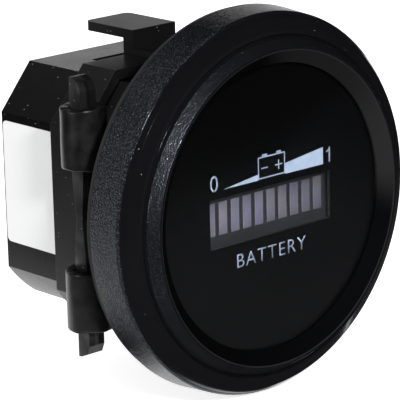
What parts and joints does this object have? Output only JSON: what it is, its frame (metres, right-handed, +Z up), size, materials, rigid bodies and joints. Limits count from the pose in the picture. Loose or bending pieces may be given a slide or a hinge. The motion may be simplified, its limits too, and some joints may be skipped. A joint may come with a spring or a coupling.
{
  "type": "battery charge gauge",
  "caption": "Round panel gauge with a bar display, a grained bezel, a flat-sided housing with rear blade terminals, and a sliding ratchet clamp with a thumb release.",
  "frame": {"origin": "centre of the panel seat, on the gauge axis, in the plane of the seal's rear face", "axes": "+Y rearwards through the panel along the gauge axis, so the dial faces -Y; +Z up; +X to the right of a person reading the dial"},
  "size_m": [0.0608, 0.0442, 0.0608],
  "materials": {
    "bezel_plastic": "black plastic, fine spark-eroded grain on the skirt and the inner cone, smooth chamfer",
    "lens_clear": "clear scratch-resistant window, glossy",
    "dial_black": "matt black printed dial with pale print",
    "seal_rubber": "soft black rubber",
    "inner_black": "plain black moulding",
    "display_grey": "dark grey display body",
    "display_segment": "unlit diffusing light segments",
    "board_green": "solder-masked circuit board",
    "chip_black": "moulded component bodies",
    "header_metal": "tinned pins on a spacer strip",
    "capacitor_blue": "sleeved can",
    "screw_steel": "zinc-plated steel",
    "housing_plastic": "smooth semi-matt black plastic",
    "label_white": "plain white adhesive label",
    "clamp_plastic": "tough black plastic with a slight sheen",
    "sleeve_rubber": "satin black rubber tube with cut ends",
    "blade_tin": "tin-plated brass blade"
  },
  "bodies": {
    "housing": {"bezel_ring": "bezel_plastic", "lens": "lens_clear", "dial_plate": "dial_black", "lens_seal": "seal_rubber", "panel_seal": "seal_rubber", "dial_spacer": "inner_black", "bargraph_body": "display_grey", "bargraph_segments": "display_segment", "display_board": "board_green", "microcontroller": "chip_black", "driver_chip": "chip_black", "board_header": "header_metal", "terminal_board": "board_green", "smoothing_capacitor": "capacitor_blue", "voltage_regulator": "chip_black", "input_diode": "chip_black", "chip_resistors": "chip_black", "blade_1": "blade_tin", "blade_2": "blade_tin", "blade_3": "blade_tin", "blade_4": "blade_tin", "blade_5": "blade_tin", "blade_6": "blade_tin", "blade_7": "blade_tin", "blade_8": "blade_tin", "board_screw_left": "screw_steel", "board_screw_right": "screw_steel", "housing": "housing_plastic", "side_label": "label_white"},
    "clamp": {"clamp_band": "clamp_plastic", "sleeve_left_upper": "sleeve_rubber", "sleeve_left_lower": "sleeve_rubber", "sleeve_right_upper": "sleeve_rubber", "sleeve_right_lower": "sleeve_rubber"},
    "release_lever": {"release_lever": "clamp_plastic"}
  },
  "joints": [
    {"name": "clamp_slide", "type": "slide", "parent": "housing", "child": "clamp", "axis": [0, 1, 0], "range_m": [-0.0024, 0.0056]},
    {"name": "lever_press", "type": "hinge", "parent": "clamp", "child": "release_lever", "pos_m": [0, 0.0181, 0.01935], "axis": [-1, 0, 0], "range_deg": [-6, 8], "stiffness_Nm_per_rad": 0.05}
  ]
}
